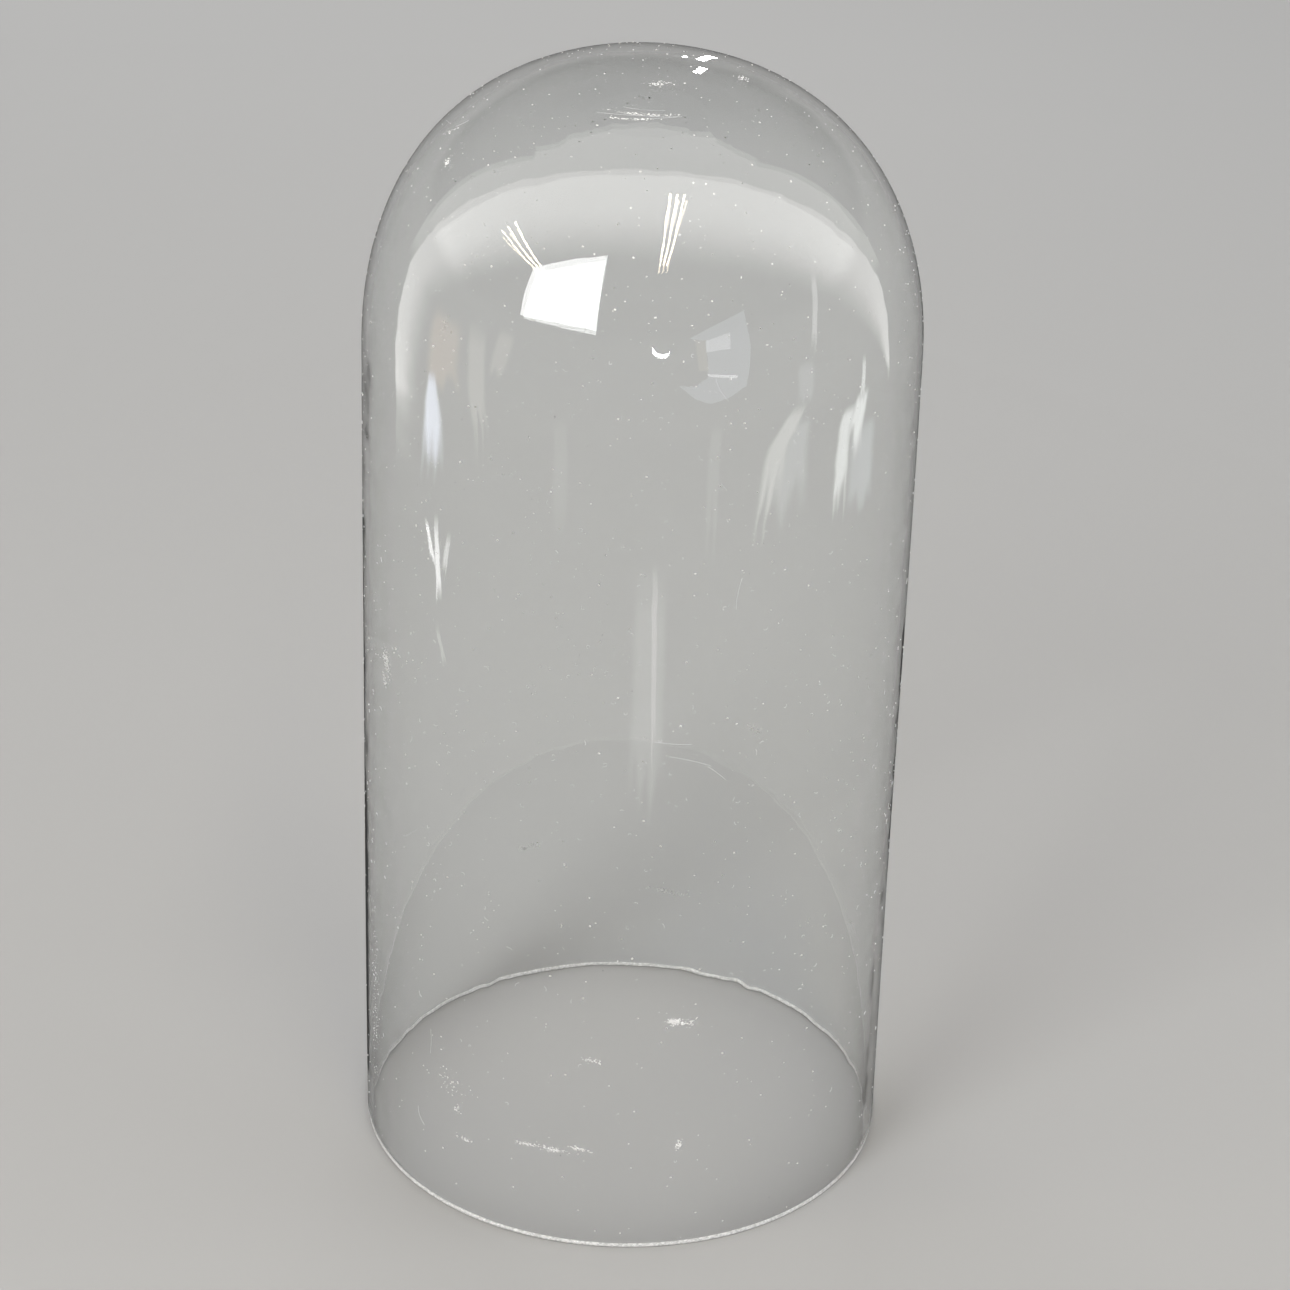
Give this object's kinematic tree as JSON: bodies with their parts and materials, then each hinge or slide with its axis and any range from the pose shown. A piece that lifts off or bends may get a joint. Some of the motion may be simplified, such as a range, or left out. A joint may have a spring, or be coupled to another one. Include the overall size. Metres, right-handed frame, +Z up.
{
  "type": "glass cloche",
  "caption": "Tall blown clear-glass cloche: a straight-sided bell with a full rounded crown and an open, ground foot.",
  "frame": {"origin": "centre of the open foot, on the plane that the bell stands on", "axes": "+Z up along the bell's axis, from the open foot to the crown; the bell is round, so +X and +Y are free"},
  "size_m": [0.1999, 0.2, 0.426],
  "materials": {
    "clear_glass": "clear, hand-blown, slightly uneven, with fine seeds and a little dust"
  },
  "bodies": {
    "root": {"glass_bell": "clear_glass"}
  },
  "joints": []
}
